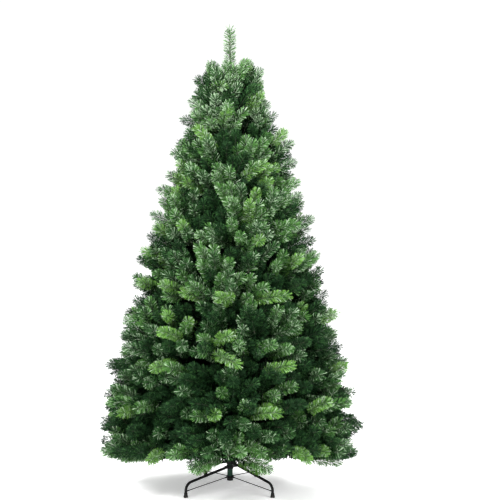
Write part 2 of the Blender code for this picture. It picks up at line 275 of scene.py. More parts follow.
def polePaint():  # dark green satin paint over steel tube, with rubbed and duller patches
    paint = {
        "colour": (0.005, 0.030, 0.016),
        "light": (0.012, 0.050, 0.029),
        "roughness": 0.42,
        "shine": 0.15,
        "patches": 9.0,
        "scuffs": 120.0,
        "grain": 700.0,
        "relief": 0.00004,
    }
    f = Finish("polePaint", paint)
    patches = f.noise(paint["patches"], 4.0, stretch=(1.0, 1.0, 0.25))
    scuffs = f.ramp(f.noise(paint["scuffs"], 5.0, 0.7, (1.0, 1.0, 0.12)), (0.60, 0.0), (0.70, 1.0))
    f.set("Base Color", f.blend(patches * 0.5 + scuffs * 0.35, paint["colour"], paint["light"]))
    f.set("Roughness", paint["roughness"] + patches * 0.12 + scuffs * 0.18)
    f.bump(f.noise(paint["grain"], 2.0), paint["relief"])
    return f.material


def plastic():  # black moulded cap
    cap = {
        "colour": (0.006, 0.006, 0.0065),
        "light": (0.014, 0.014, 0.015),
        "roughness": 0.46,
        "shine": 0.2,
        "patches": 180.0,
        "grain": 2200.0,
        "relief": 0.00003,
    }
    f = Finish("capPlastic", cap)
    patches = f.noise(cap["patches"], 4.0)
    f.set("Base Color", f.blend(patches * 0.4, cap["colour"], cap["light"]))
    f.set("Roughness", cap["roughness"] + patches * 0.15)
    f.bump(f.noise(cap["grain"], 2.0), cap["relief"])
    return f.material


def wrappedWire():  # wire wound with strips of dark green film
    wrap = {
        "colour": (0.012, 0.040, 0.016),
        "brown": (0.034, 0.030, 0.016),
        "roughness": 0.62,
        "patches": 35.0,
        "wear": 160.0,
        "grain": 900.0,
        "relief": 0.0002,
    }
    f = Finish("wrappedWire", wrap)
    patches = f.ramp(f.noise(wrap["patches"], 4.0), (0.35, 0.0), (0.65, 1.0))
    f.set("Base Color", f.blend(patches, wrap["colour"], wrap["brown"]))
    f.set("Roughness", wrap["roughness"] + f.noise(wrap["wear"]) * 0.2)
    f.bump(f.noise(wrap["grain"], 3.0), wrap["relief"])
    return f.material


# The needles' shades: plain colours, dealt out by spray. Deep and dark also serve as painted shade inside
# the crown and in each spray's core, and pale serves as painted highlight on the film
needleShades = {
    "deep": {"colour": (0.0019, 0.0082, 0.0021), "roughness": 0.65, "shine": 0.06},
    "dark": {"colour": (0.0082, 0.0298, 0.0093), "roughness": 0.58, "shine": 0.10},
    "mid": {"colour": (0.0265, 0.0815, 0.0210), "roughness": 0.52, "shine": 0.18},
    "fresh": {"colour": (0.0560, 0.1540, 0.0320), "roughness": 0.50, "shine": 0.22},
    "bright": {"colour": (0.1060, 0.2400, 0.0430), "roughness": 0.50, "shine": 0.22},
    "pale": {"colour": (0.2550, 0.3600, 0.2250), "roughness": 0.42, "shine": 0.30},
}


finishes = {
    "powderCoat": dusty("blackPowderCoat", powderCoat),
    "polePaint": polePaint(),
    "rubber": dusty("footRubber", rubber),
    "plastic": plastic(),
    "wrappedWire": wrappedWire(),
}
needleFinishes = {shade: Finish(f"needle_{shade}", look).material for shade, look in needleShades.items()}
print("finishes:", len(finishes) + len(needleFinishes))


# The pole: three tubes, each swaged where it enters the next

pole = {
    "radii": (0.0125, 0.0110, 0.0095),
    "joints": (0.76, 1.40),
    "foot": 0.0385,
    "tip": 1.84,
    "shoulder": 0.006,
    "bead": 0.0006,
    "beadHalf": 0.0035,
    "beadsBelow": (0.020, 0.034),
    "steps": 40,
}


def poleRadius(height):
    return pole["radii"][sum(height > joint for joint in pole["joints"])]


def makePole():
    low, bead, half = pole["foot"], pole["bead"], pole["beadHalf"]
    profile = [(0.0, low)]
    for radius, high in zip(pole["radii"], (*pole["joints"], pole["tip"])):
        profile += [(radius - bead, low), (radius, low + bead)]
        for below in pole["beadsBelow"]:  # rolled beads near the upper end of each tube
            centre = high - below
            profile += [(radius, centre - half), (radius + bead, centre), (radius, centre + half)]
        profile += [(radius, high - bead), (radius - bead, high)]
        low = high + pole["shoulder"]
    profile.append((0.0, pole["tip"]))
    bm = bmesh.new()
    addLathe(bm, profile, pole["steps"])
    place(fromBmesh(bm, "pole", finishes["polePaint"]), "pole_green", "trunk_pole")


makePole()


# The folding stand

stand = {
    "reach": 0.260,
    "gap": 0.0003,
    "lowPair": 0.097,
    "highPair": 0.1175,
    "frontSplay": 46.7,
    "rearSplay": 27.6,
    "legRadius": 0.006,
    "legSides": 24,
    "legFoot": 0.0045,
    "bend": 0.036,
    "bendSteps": 16,
    "uprightTop": 0.028,
    "flatEnd": (0.0024, 0.0064),
    "flatRuns": (0.027, 0.040),
}
legs = (
    ("front_left", 270.0 - stand["frontSplay"], stand["lowPair"]),
    ("rear_right", 90.0 - stand["rearSplay"], stand["lowPair"]),
    ("front_right", 270.0 + stand["frontSplay"], stand["highPair"]),
    ("rear_left", 90.0 + stand["rearSplay"], stand["highPair"]),
)
collarInner = pole["radii"][0] + stand["gap"]
collar = {
    "inner": collarInner,
    "outer": collarInner + 0.003,
    "half": 0.0085,
    "edge": 0.0008,
    "steps": 40,
    "earWall": 0.0014,
    "earEdge": 0.0004,
    "earInset": 0.0012,
    "rivetAt": 0.62,
    "rivetProud": 0.0018,
    "legEars": (0.016, 0.0125, 0.0034, 0.0026),
    "braceEars": (0.011, 0.0070, 0.0019, 0.0016),
}


def legLine(start, height):  # (reach, height) points: down from the collar, then round to the foot
    def onBend(turn):
        reach = stand["reach"] - stand["bend"] * (1.0 - math.sin(turn))
        return reach, stand["uprightTop"] + stand["bend"] * math.cos(turn)

    slope = 0.0
    for _ in range(8):  # the slope and the start of the bend depend on each other
        bendReach, bendHeight = onBend(slope)
        slope = math.atan2(height - bendHeight, bendReach - start)
    line = [(start + stand["legRadius"] * math.sin(slope), height)]
    for run in stand["flatRuns"]:  # the end of the flattened length, and where it has grown round again
        line.append((line[0][0] + run * math.cos(slope), height - run * math.sin(slope)))
    steps = stand["bendSteps"]
    line += [onBend(slope + (math.pi / 2 - slope) * step / steps) for step in range(steps + 1)]
    line.append((stand["reach"], stand["legFoot"]))
    return line


def addRivet(bm, centre, axis, radius, span):  # a rivet with two domed heads
    matrix = Matrix.Translation(centre) @ axis.to_track_quat("Z", "Y").to_matrix().to_4x4()
    half, dome, shoulder = span / 2, radius * 0.5, 0.7
    head = [(0.0, half + dome), (radius * shoulder, half + dome * shoulder), (radius, half)]
    addLathe(bm, [(reach, -height) for reach, height in head] + head[::-1], steps=16, matrix=matrix)


def makeLeg(name, azimuth, height):
    points = [pointAt(azimuth, *spot) for spot in legLine(collar["outer"] + stand["gap"], height)]
    radii = [stand["flatEnd"]] * 2 + [(stand["legRadius"],) * 2] * (len(points) - 2)
    bm = bmesh.new()
    addTube(bm, points, radii, stand["legSides"], rightOf(compass(azimuth)))
    place(fromBmesh(bm, f"leg_{name}", finishes["powderCoat"]), "stand_black", f"stand_leg_{name}")


def ringProfile(inner, outer, low, high, edge):  # a band with rounded edges
    corner = edge * 0.3
    return [
        (inner, low + edge), (inner + edge, low), (outer - edge, low), (outer - corner, low + corner),
        (outer, low + edge), (outer, high - edge), (outer - corner, high - corner),
        (outer - edge, high), (inner + edge, high), (inner, high - edge),
    ]


def makeCollar(name, node, low, high, azimuths, ears):  # a band with a pair of riveted ears for each leg
    length, tall, halfGap, rivet = ears
    inner, outer, middle = collar["inner"], collar["outer"], (low + high) / 2
    bm = bmesh.new()
    addLathe(bm, ringProfile(inner, outer, low, high, collar["edge"]), collar["steps"])
    for azimuth in azimuths:
        turn = Matrix.Rotation(math.radians(azimuth), 4, "Z")
        for way in (-1.0, 1.0):
            offset = Matrix.Translation((outer - collar["earInset"] + length / 2, way * halfGap, middle))
            addPlate(bm, (length, collar["earWall"], tall), turn @ offset, collar["earEdge"])
        centre = pointAt(azimuth, outer + length * collar["rivetAt"], middle)
        addRivet(bm, centre, rightOf(compass(azimuth)), rivet, 2 * halfGap + collar["rivetProud"])
    place(fromBmesh(bm, name, finishes["powderCoat"]), "stand_black", node)


brace = {
    "radius": 0.002,
    "sides": 16,
    "ring": (0.0465, 0.0575),
    "atLeg": 0.0275,
    "shares": (0.0, 0.045, 0.075, 0.3, 0.6, 0.94, 0.97, 1.0),
    "flatEnd": (0.0009, 0.0032),
    "rivetAt": 0.985,
    "rivet": (0.0024, 0.0030),
}


def makeBrace(name, azimuth):  # a thin rod from the ring to the leg, flattened at both ends
    near = collar["outer"] + 2 * stand["gap"]
    far = stand["reach"] - stand["legRadius"] - 2 * stand["gap"]
    start = pointAt(azimuth, near, sum(brace["ring"]) / 2)
    end = pointAt(azimuth, far, brace["atLeg"])
    points = [start.lerp(end, share) for share in brace["shares"]]
    flat, full = [brace["flatEnd"]] * 2, [(brace["radius"],) * 2] * (len(points) - 4)
    side = rightOf(compass(azimuth))
    bm = bmesh.new()
    addTube(bm, points, flat + full + flat, brace["sides"], side)
    addRivet(bm, start.lerp(end, brace["rivetAt"]), side, *brace["rivet"])
    place(fromBmesh(bm, f"brace_{name}", finishes["powderCoat"]), "stand_black", f"brace_rod_{name}")


footCap = {
    "floor": 0.0040,
    "boreTop": 0.0206,
    "flare": 0.0004,
    "lip": ((0.0074, 0.0210), (0.0078, 0.0204)),
    "ribs": 3,
    "topRib": (0.0078, 0.0182),
    "ribStep": (0.0005, 0.0036),
    "groove": (0.0005, 0.0008),
    "base": ((0.0096, 0.0062), (0.0100, 0.0048), (0.0100, 0.0008), (0.0094, 0.0)),
    "steps": 40,
}


def makeFootCap(name, azimuth):
    bore, floor = stand["legRadius"] + stand["gap"], footCap["floor"]
    profile = [(0.0, floor), (bore, floor), (bore, footCap["boreTop"])]
    profile += [(bore + footCap["flare"], footCap["lip"][0][1]), *footCap["lip"]]
    (radius, top), (wider, lower), (deep, half) = footCap["topRib"], footCap["ribStep"], footCap["groove"]
    for rib in range(footCap["ribs"]):  # moulded ribs round the neck
        out, height = radius + rib * wider, top - rib * lower
        profile += [(out, height), (out - deep, height - half), (out, height - 2 * half)]
    profile += [*footCap["base"], (0.0, 0.0)]
    bm = bmesh.new()
    addLathe(bm, profile, footCap["steps"], Matrix.Translation(compass(azimuth) * stand["reach"]))
    place(fromBmesh(bm, f"foot_{name}", finishes["rubber"]), "foot_rubber", f"foot_cap_{name}")


endCap = {
    "bottom": 0.0350,
    "top": 0.0450,
    "wall": 0.0015,
    "edge": 0.0010,
    "lip": (0.0005, 0.0006),
    "hollow": (0.55, 0.50),
    "steps": 40,
}


def makeEndCap():
    bottom, top, edge = endCap["bottom"], endCap["top"], endCap["edge"]
    bore, floor = pole["radii"][0] + stand["gap"], pole["foot"] - stand["gap"]
    outer, (lipIn, lipDown), (rim, hollow) = bore + endCap["wall"], endCap["lip"], endCap["hollow"]
    profile = [(0.0, floor), (bore, floor), (bore, top), (outer - lipIn, top), (outer, top - lipDown)]
    profile += [(outer, bottom + edge), (outer - edge, bottom), (outer * rim, bottom)]
    profile += [(outer * hollow, bottom + edge), (0.0, bottom + edge)]
    bm = bmesh.new()
    addLathe(bm, profile, endCap["steps"])
    place(fromBmesh(bm, "poleEndCap", finishes["plastic"]), "end_cap_black", "pole_end_cap")


def makeStand():
    for name, azimuth, height in legs:
        makeLeg(name, azimuth, height)
        makeBrace(name, azimuth)
        makeFootCap(name, azimuth)
    for name, height in (("low", stand["lowPair"]), ("high", stand["highPair"])):
        low, high = height - collar["half"], height + collar["half"]
        pair = [azimuth for _, azimuth, legHeight in legs if legHeight == height]
        makeCollar(f"collar_{name}", f"leg_collar_{name}", low, high, pair, collar["legEars"])
    everyLeg = [azimuth for _, azimuth, _ in legs]
    makeCollar("braceRing", "brace_ring", *brace["ring"], everyLeg, collar["braceEars"])
    makeEndCap()


makeStand()
print("pole and stand: done")


# The crown's growth: the rule of the part's source, with the same draws

crown = {
    "seed": 7,
    "height": 2.10,
    "radius": 0.605,
    "widest": 0.29,
    "curve": 0.78,
    "foot": 0.10,
    "tuck": 0.14,
    "front": 270.0,
    "frontLift": 0.14,
    "lowSprays": ((249.0, 0.40, 0.158), (292.0, 0.40, 0.157)),
    "gap": 0.0003,
    "tierDrop": 0.035,
    "topCeiling": 1.80,
    "stemAim": 0.15,
    "stemReach": 0.66,
    "stemRadius": 0.0045,
    "boughRadius": 0.0060,
    "boughEndRadius": 0.0050,
    "twigRadius": 0.0026,
    "forkAngle": 38.0,
    "forkZone": (0.10, 0.92),
    "outerRows": (0.25, 0.74),
    "upperStretch": 1.25,
    "outerReach": (0.97, 1.02),
    "heightPlay": 0.012,
    "azimuthPlay": 1.5,
    "risers": ((0.05, 0.25, 0.04), (0.16, -0.05, 0.10), (0.42, -0.52, 0.20), (0.48, 0.52, 0.20)),
    "riserHeadroom": 0.018,
    "riserHeightPlay": 0.02,
    "riserAzimuthPlay": 3.0,
    "riserLimit": 0.85,
}
# name, sectors, first azimuth, stem height, top edge, sprays across, bough reach
tiers = (
    ("skirt", 6, 270, 0.185, 0.370, 4, 0.13),
    ("lower", 5, 272, 0.300, 0.625, 4, 0.11),
    ("low_middle", 5, 285, 0.480, 0.875, 4, 0.0),
    ("middle", 4, 260, 0.700, 1.120, 4, 0.0),
    ("high_middle", 4, 292, 0.935, 1.370, 3, 0.0),
    ("upper", 3, 270, 1.195, 1.610, 3, 0.0),
    ("crown_top", 3, 240, 1.465, 1.940, 2, 0.0),
)


def crownRadius(height):
    if height >= crown["widest"]:
        left = max(crown["height"] - height, 0.0) / (crown["height"] - crown["widest"])
        return crown["radius"] * left ** crown["curve"]
    drop = (crown["widest"] - height) / (crown["widest"] - crown["foot"])
    return crown["radius"] * (1.0 - crown["tuck"] * drop * drop)


def crownFoot(azimuth):  # the crown's lower edge is lifted in front
    return crown["foot"] + crown["frontLift"] * max(0.0, compass(azimuth).dot(compass(crown["front"])))


def forkPoint(start, end, tip, angle, zone):  # where the twig to a tip leaves the limb
    heading = (end - start).normalized()
    run = (tip - start).dot(heading)
    off = (tip - start - heading * run).length
    share = (run - off / math.tan(math.radians(angle))) / (end - start).length
    return start.lerp(end, min(max(share, zone[0]), zone[1]))


def outerTips(tier, middle, halfAngle, lowEdge, chance):
    _, _, _, _, topEdge, across, _ = tier
    for row, rowShare in enumerate(crown["outerRows"]):
        columns = across - row
        stretch = crown["upperStretch"] if row else 1.0
        for column in range(columns):
            side = (2 * column + 1 - columns) / across * stretch
            azimuth = middle + side * halfAngle + sway(chance, crown["azimuthPlay"])
            low = max(lowEdge, crownFoot(azimuth))
            height = low + (topEdge - low) * rowShare + sway(chance, crown["heightPlay"])
            yield pointAt(azimuth, crownRadius(height) * chance.uniform(*crown["outerReach"]), height)


def riserTips(tier, middle, halfAngle, stem, ceiling, chance):
    for share, side, lean in crown["risers"]:
        azimuth = middle + side * halfAngle + sway(chance, crown["riserAzimuthPlay"])
        reach = reachOf(stem[0].lerp(stem[1], share)) + lean * crownRadius(tier[4])
        height = ceiling[0] + ceiling[1] * reach - crown["riserHeadroom"]
        while crownRadius(height) * crown["riserLimit"] < reach:
            height -= crown["riserHeadroom"] / 4
        yield pointAt(azimuth, reach, height - chance.uniform(0, crown["riserHeightPlay"]))


def growSector(tier, number, middle, lowEdge, ceiling, chance):
    name, sectors, _, stemHeight, topEdge, _, boughReach = tier
    out, foot = compass(middle), atHeight(stemHeight)
    footHeight = max(lowEdge, crownFoot(middle))
    edgeHeight = footHeight + (topEdge - footHeight) * crown["stemAim"]
    edge = pointAt(middle, crownRadius(edgeHeight), edgeHeight)
    heading = (edge - foot).normalized()
    startRadius = crown["boughRadius"] if boughReach else crown["stemRadius"]
    clear = poleRadius(stemHeight) + crown["gap"] + startRadius * abs(heading.z)
    start, bough = foot + heading * clear / heading.dot(out), None
    if boughReach:
        bough = (start, foot + heading * boughReach)
        start = bough[1] + heading * crown["gap"]
    stem = (start, foot.lerp(edge, crown["stemReach"]))
    halfAngle = 180.0 / sectors
    tips = {
        "outer": list(outerTips(tier, middle, halfAngle, lowEdge, chance)),
        "riser": list(riserTips(tier, middle, halfAngle, stem, ceiling, chance)),
        "low": [],
    }
    if lowEdge == crown["foot"] and middle == crown["front"]:
        tips["low"] = [pointAt(*spray) for spray in crown["lowSprays"]]
    twigs = {kind: [] for kind in tips}
    for kind in tips:
        for tip in tips[kind]:
            chance.uniform(0, math.tau)  # the source turns each twig by a draw
            twigs[kind].append((forkPoint(*stem, tip, crown["forkAngle"], crown["forkZone"]), tip))
    return {
        "tier": tier, "name": f"{name}_{number}", "middle": middle, "lowEdge": lowEdge,
        "bough": bough, "stem": stem, "edge": edge, "twigs": twigs,
    }


def growTiers():
    chance = random.Random(crown["seed"])
    sectors, lowEdge = [], crown["foot"]
    for index, tier in enumerate(tiers):
        atPole = tiers[index + 1][3] - crown["tierDrop"] if index + 1 < len(tiers) else crown["topCeiling"]
        ceiling = (atPole, (tier[4] - atPole) / crownRadius(tier[4]))
        for sector in range(tier[1]):
            middle = tier[2] + sector * 360.0 / tier[1]
            sectors.append(growSector(tier, sector + 1, middle, lowEdge, ceiling, chance))
        lowEdge = tier[4]
    return sectors


# Finer twigs and their needles

brush = {
    "seed": 3,
    "length": 0.170,
    "lengthPlay": (0.90, 1.08),
    "share": 0.92,  # the most of a twig that a spray covers
    "headRoom": 0.8,  # of a needle's length, left free at the tip
    "innerStart": 0.05,  # where a twig's inner needles start,
    "innerLeast": 0.2,  # if its spray starts beyond here
    "bend": 0.010,
    "sag": 0.006,
    "bendSpan": 0.25,  # the length of a twig that bends and sags as much
    "levelHeights": (0.50, 1.30),  # twigs level off towards their tips, less so higher up
    "levelShares": (1.00, 0.50),
    "forkAngle": 20.0,
    "forkZone": (0.0, 0.88),
    "aboveWeight": 1.5,
    "thin": 0.7,
    "wire": 0.0012,
    "wireShares": (0.0, 0.35, 0.7),
}
# needles to a metre of twig, needle length, width at the root and tip, lean,
# and for a domed end its share of the spray and the lean there
needleKinds = {
    "spray": {"density": 3220, "length": 0.0310, "width": (0.0, 0.0029), "lean": 57, "dome": (0.15, 12)},
    "inner": {"density": 640, "length": 0.0310, "width": (0.0, 0.0075), "lean": 66, "dome": None},
    "leader": {
        "density": 2100, "length": 0.0325, "width": (0.0014, 0.0026), "lean": 66, "dome": (0.05, 20),
    },
}
needlePlay = {
    "step": 2.39996,  # from needle to needle, round the twig
    "turn": 0.5,
    "lean": 8,
    "length": (0.93, 1.04),
    "coreLength": 0.78,
    "rootOut": 0.0008,
}
# how often a spray is of each kind, low down and higher up, and its main, core and lighter needles; the
# core needles are painted shade inside the spray and the lighter needles painted highlight
sprayKinds = {
    "dark": (0.58, 0.10, ("dark", "deep", "mid")),
    "mid": (0.27, 0.35, ("mid", "deep", "pale")),
    "fresh": (0.11, 0.41, ("fresh", "dark", "pale")),
    "bright": (0.04, 0.14, ("bright", "mid", "pale")),
}
# the kinds are darkest from 0.33 to 0.46 m high and lighter upwards and downwards: painted shade low in the
# crown, painted light towards the top
kindHeights = ((0.46, 1.22), (0.33, -0.30))  # from and to where they grow lighter, upwards and downwards
# near-black needles of the inner twigs, stems and boughs: painted shade deep inside the crown
innerShades = ("deep", "deep", "dark")
lowShades = ("bright", "fresh", "mid")
leaderShades = ("fresh", "dark", "pale")
# the tiers of each zone, and its sprays' shares of main, core and lighter needles; the lighter share grows
# towards the top as painted light
zones = {
    "low": {"tiers": ("skirt", "lower"), "shares": (0.60, 0.26, 0.14)},
    "middle": {"tiers": ("low_middle", "middle"), "shares": (0.57, 0.26, 0.17)},
    "high": {"tiers": ("high_middle", "upper"), "shares": (0.55, 0.25, 0.20)},
    "top": {"tiers": ("crown_top",), "shares": (0.47, 0.20, 0.33)},
}


class Foliage:  # gathers the needles of a zone by shade, and its twigs
    def __init__(self, zone):
        self.zone = zone
        self.needles = {shade: [] for shade in needleShades}
        self.wood = bmesh.new()
        self.nodes = []

    def add(self, path, span, shades, kind, chance):  # needles round a bent path, between two shares of it
        look = needleKinds[kind]
        start, middle, end = (np.array(point) for point in path)
        count = max(round(look["density"] * (span[1] - span[0]) * np.linalg.norm(end - start)), 3)
        which = chance.choice(3, size=count, p=zones[self.zone]["shares"])
        along = (np.arange(count) + chance.random(count)) / count
        s = (span[0] + (span[1] - span[0]) * along)[:, None]
        centre = (1 - s) ** 2 * start + 2 * s * (1 - s) * middle + s**2 * end
        axis = (1 - s) * (middle - start) + s * (end - middle)
        axis /= np.linalg.norm(axis, axis=1)[:, None]
        guide = (0.31, 0.17, 0.93) if abs(axis[0, 2]) < 0.8 else (0.93, 0.17, 0.31)  # well off the axis
        side = np.cross(axis, guide)
        side /= np.linalg.norm(side, axis=1)[:, None]
        upright = np.cross(axis, side)
        turnPlay = chance.uniform(-needlePlay["turn"], needlePlay["turn"], count)
        turn = (np.arange(count) * needlePlay["step"] + turnPlay)[:, None]
        radial = np.cos(turn) * side + np.sin(turn) * upright
        lean = look["lean"] + chance.uniform(-needlePlay["lean"], needlePlay["lean"], count)
        if look["dome"]:  # towards the end the needles lean forward, into a rounded head
            share, forward = look["dome"]
            domed = np.clip((along - (1 - share)) / share, 0, 1)
            lean = lean + (forward - look["lean"]) * domed * chance.random(count) ** 0.5
        lean = np.radians(lean)[:, None]
        direction = np.cos(lean) * axis + np.sin(lean) * radial
        length = look["length"] * chance.uniform(*needlePlay["length"], count)
        length *= np.where(which == 1, needlePlay["coreLength"], 1.0)
        root = centre + radial * needlePlay["rootOut"]
        tip = root + direction * length[:, None]
        twist = np.cross(direction, chance.normal(size=(count, 3)))
        twist /= 2 * np.linalg.norm(twist, axis=1)[:, None]
        atRoot, atTip = (twist * width for width in look["width"])
        corners = [root - atRoot, root + atRoot, tip + atTip, tip - atTip]
        blades = np.stack(corners if look["width"][0] else corners[1:], axis=1)
        for index, shade in enumerate(shades):
            self.needles[shade].append(blades[which == index])

    def build(self):
        count = 0
        for shade, blades in self.needles.items():
            piece, triangles = needlePiece(f"needles_{shade}_{self.zone}", blades, needleFinishes[shade])
            place(piece, "needle_green", *self.nodes)
            print("  ", piece.name, triangles)
            count += triangles
        wood = fromBmesh(self.wood, f"twigs_{self.zone}", finishes["wrappedWire"])
        place(wood, "bough_wrap")
        return count + sum(len(face.vertices) - 2 for face in wood.data.polygons)


def needlePiece(name, blades, finish):  # one mesh of many flat needles, of four corners or three
    mesh = bpy.data.meshes.new(name)
    points = np.concatenate([blade.reshape(-1, 3) for blade in blades]).astype(np.float32)
    corners = np.concatenate([np.full(len(blade), blade.shape[1]) for blade in blades])
    mesh.vertices.add(len(points))
    mesh.vertices.foreach_set("co", points.reshape(-1))
    mesh.loops.add(len(points))
    mesh.loops.foreach_set("vertex_index", np.arange(len(points), dtype=np.int32))
    mesh.polygons.add(len(corners))
    mesh.polygons.foreach_set("loop_start", (np.cumsum(corners) - corners).astype(np.int32))
    mesh.update(calc_edges=True)
    mesh.materials.append(finish)
    return bpy.data.objects.new(name, mesh), int((corners - 2).sum())


def bentPath(start, end, fine):  # start, control and end of a gently bent twig
    span = end - start
    off = span.orthogonal().normalized()
    off.rotate(Matrix.Rotation(fine.uniform(0, math.tau), 3, span.normalized()))
    share = span.length / brush["bendSpan"]
    bend = off * fine.uniform(0, brush["bend"]) * share - atHeight(brush["sag"] * share)
    middle = (start + end) / 2 + bend * 2
    middle.z += (end.z - middle.z) * float(np.interp(end.z, brush["levelHeights"], brush["levelShares"]))
    return start, middle, end


def onPath(path, s):
    start, middle, end = path
    return start * (1 - s) ** 2 + middle * (2 * s * (1 - s)) + end * s**2


def lastNeedle(kind, length):  # the share of a twig at which its needles end
    return 1 - needleKinds[kind]["length"] * brush["headRoom"] / length


def addSpray(foliage, path, shades, kind, fine, chance, radius):
    start, middle, tip = path
    length = ((middle - start).length + (tip - middle).length + (tip - start).length) / 2
    span = min(brush["length"] * fine.uniform(*brush["lengthPlay"]), length * brush["share"])
    first, last = 1 - span / length, lastNeedle("spray", length)
    foliage.add(path, (first, last), shades, kind, chance)
    # the inner needles below a spray are near-black as painted shade
    if first > brush["innerLeast"]:  # wider, darker needles on the twig below the spray
        foliage.add(path, (brush["innerStart"], first), innerShades, "inner", chance)
    points = [onPath(path, s) for s in (*brush["wireShares"], last)]
    addTube(foliage.wood, points, [(radius, radius)] + [(brush["wire"],) * 2] * 3, sides=4)


def addLimb(foliage, start, end, radii, chance, firstNeedle):  # a stem or bough with its inner needles
    foliage.add((start, (start + end) / 2, end), (firstNeedle, 1.0), innerShades, "inner", chance)
    if radii:
        addTube(foliage.wood, [start, end], [(radius, radius) for radius in radii], sides=7)


winding = {
    "step": 0.003,
    "sides": 18,
    "depth": 0.10,
    "pitch": 0.011,
    "strips": 1.5,  # crests to half a turn
    "ripple": 0.02,
    "wires": 5,
    "sharpAngle": 60.0,
}


def makeBough(name, bough):  # film strips wound round a bundle of wire
    start, end = bough
    thick, thin = crown["boughRadius"], crown["boughEndRadius"]
    steps = round((end - start).length / winding["step"])
    points = [start.lerp(end, step / steps) for step in range(steps + 1)]
    radii = [(thick + (thin - thick) * step / steps,) * 2 for step in range(steps + 1)]

    def wound(turn, along):
        crest = abs(math.sin(winding["strips"] * turn - along * math.pi / winding["pitch"]))
        return 1.0 - winding["depth"] * crest + winding["ripple"] * math.sin(winding["wires"] * turn)

    bm = bmesh.new()
    addTube(bm, points, radii, winding["sides"], relief=wound)
    piece = fromBmesh(bm, f"wound_{name}", finishes["wrappedWire"], winding["sharpAngle"])
    place(piece, "bough_wrap", name)


# Where the sprays and the inner twigs end

outerSprays = {
    "rowStep": 0.055,
    "rowPlay": 0.4,
    "columnStep": 0.057,
    "columnPlay": 0.35,
    "fullReach": (0.83, 0.98),
    "deepReach": (0.76, 0.88),
    "deepShare": 0.32,
    "footRoom": (0.012, 0.055),
}
riserTwigs = {
    "places": ((-1, -1), (1, -1), (0, -2)),  # steps across and upwards from a riser's tip
    "step": 0.050,
    "drop": (0.5, 1.2),
    "away": (0.9, 1.15),
    "turn": (0.7, 1.3),
    "leastReach": 0.04,
}
sideTwigs = {
    "step": 0.019,
    "rootPlay": (0.2, 0.8),
    "boughShare": 0.30,
    "spread": 1.1,
    "length": (0.11, 0.24),
    "lengthPlay": (0.85, 1.1),
    "angle": 54.0,
    "anglePlay": 12,
    "lifts": (0.3, -0.9, 1.1, -0.3, -1.8),
    "reach": 0.9,
    "shrink": 0.85,
    "leastLength": 0.04,
    "footRoom": 0.035,
}
edgeTwigs = {
    "places": ((-0.90, 0.06), (-0.55, -0.04), (0.55, 0.08), (0.90, -0.03), (-0.97, 0.14), (0.97, 0.11)),
    "roots": (0.02, 0.10),
    "reach": 0.74,
}
heartTwigs = {
    "places": ((-0.8, 0.10, 0.20), (-0.3, 0.16, 0.15), (0.3, -0.01, 0.24), (0.8, 0.14, 0.16)),
    "root": 0.5,
}


def evenTips(sector, fine):  # tips spread evenly over a sector's outer side, some of them deeper in
    tier, lowEdge = sector["tier"], sector["lowEdge"]
    halfAngle = 180.0 / tier[1]
    rows = round((tier[4] - lowEdge) / outerSprays["rowStep"])
    for row in range(rows):
        arc = 2 * math.radians(halfAngle) * crownRadius(lowEdge + (tier[4] - lowEdge) * (row + 0.5) / rows)
        columns = max(round(arc / outerSprays["columnStep"]), 1)
        for column in range(columns):  # every second row is half a column further on
            across = column + 0.25 + 0.5 * (row % 2) + sway(fine, outerSprays["columnPlay"])
            azimuth = sector["middle"] + halfAngle * (across / columns * 2 - 1)
            low = max(lowEdge, crownFoot(azimuth))
            height = low + (tier[4] - low) * (row + 0.5 + sway(fine, outerSprays["rowPlay"])) / rows
            height = max(height, crownFoot(azimuth) + fine.uniform(*outerSprays["footRoom"]))
            deep = fine.random() < outerSprays["deepShare"]
            reach = crownRadius(height) * fine.uniform(*outerSprays["deepReach" if deep else "fullReach"])
            yield pointAt(azimuth, reach, height), deep


def besideRiser(tip, fine):  # three finer tips beside and below a riser's
    reach = reachOf(tip)
    azimuthStep = math.degrees(riserTwigs["step"] / max(reach, riserTwigs["leastReach"]))
    for across, upwards in riserTwigs["places"]:
        height = tip.z + upwards * riserTwigs["step"] * fine.uniform(*riserTwigs["drop"])
        away = reach * fine.uniform(*riserTwigs["away"])
        turn = across * azimuthStep * fine.uniform(*riserTwigs["turn"])
        yield pointAt(azimuthOf(tip) + turn, away, height)


def sideTips(sector, fine):  # short twigs round a stem, which fill its sector behind the outer sprays
    start, end = sector["stem"]
    if sector["bough"]:
        start = sector["bough"][0].lerp(sector["bough"][1], sideTwigs["boughShare"])
    heading = (end - start).normalized()
    side = rightOf(heading).normalized()
    spread = sideTwigs["spread"] * math.sin(math.radians(180.0 / sector["tier"][1]))
    shortest, longest = sideTwigs["length"]
    most, least, lifts = sideTwigs["reach"], sideTwigs["leastLength"], sideTwigs["lifts"]
    count = round((end - start).length / sideTwigs["step"])
    for index in range(count):
        root = start.lerp(end, (index + fine.uniform(*sideTwigs["rootPlay"])) / count)
        angle = math.radians(sideTwigs["angle"] + sway(fine, sideTwigs["anglePlay"]))
        across = side * (1 if index % 2 else -1) + atHeight(lifts[index % len(lifts)])
        twig = heading * math.cos(angle) + across.normalized() * math.sin(angle)
        length = min(max(spread * reachOf(root), shortest), longest)
        twig *= length * fine.uniform(*sideTwigs["lengthPlay"])
        while reachOf(root + twig) > most * crownRadius((root + twig).z) and twig.length > least:
            twig *= sideTwigs["shrink"]
        if (root + twig).z > crownFoot(azimuthOf(root + twig)) + sideTwigs["footRoom"]:
            yield root, root + twig


